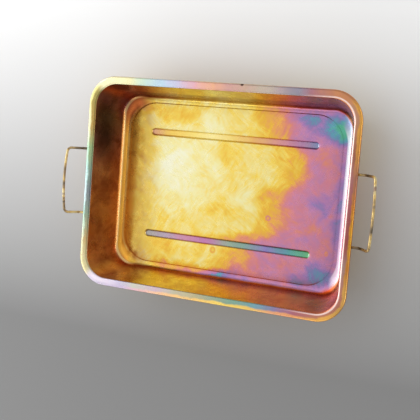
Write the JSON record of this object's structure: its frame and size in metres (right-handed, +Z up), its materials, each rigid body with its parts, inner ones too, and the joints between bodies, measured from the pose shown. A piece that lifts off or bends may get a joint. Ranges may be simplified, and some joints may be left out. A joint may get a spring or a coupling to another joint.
{
  "type": "oil drain pan",
  "caption": "Shallow rectangular drawn-steel drain tray with a rolled edge, pressed runners under the floor and bent-wire drop handles in loop clips.",
  "frame": {"origin": "middle of the base, on the plane that the two pressed runners stand on", "axes": "+X along the long side towards the right handle, +Y across the tray towards the back, +Z up"},
  "size_m": [0.5134, 0.343, 0.0973],
  "materials": {
    "pan_sheet": "drawn mild steel sheet, zinc plated with an iridescent yellow chromate, semi-gloss",
    "handle_wire": "round steel wire, zinc plated with yellow chromate, semi-gloss",
    "clip_strap": "pressed steel strap, zinc plated with yellow chromate, semi-gloss"
  },
  "bodies": {
    "tray": {"pan": "pan_sheet", "clip_left_front": "clip_strap", "clip_left_back": "clip_strap", "clip_right_front": "clip_strap", "clip_right_back": "clip_strap"},
    "left_handle": {"handle_left": "handle_wire"},
    "right_handle": {"handle_right": "handle_wire"}
  },
  "joints": [
    {"name": "left_handle_hinge", "type": "hinge", "parent": "tray", "child": "left_handle", "pos_m": [-0.21438, -0.003, 0.0705], "axis": [0, -1, 0], "range_deg": [-11, 100]},
    {"name": "right_handle_hinge", "type": "hinge", "parent": "tray", "child": "right_handle", "pos_m": [0.21438, -0.0015, 0.0705], "axis": [0, 1, 0], "range_deg": [-11, 100]}
  ]
}
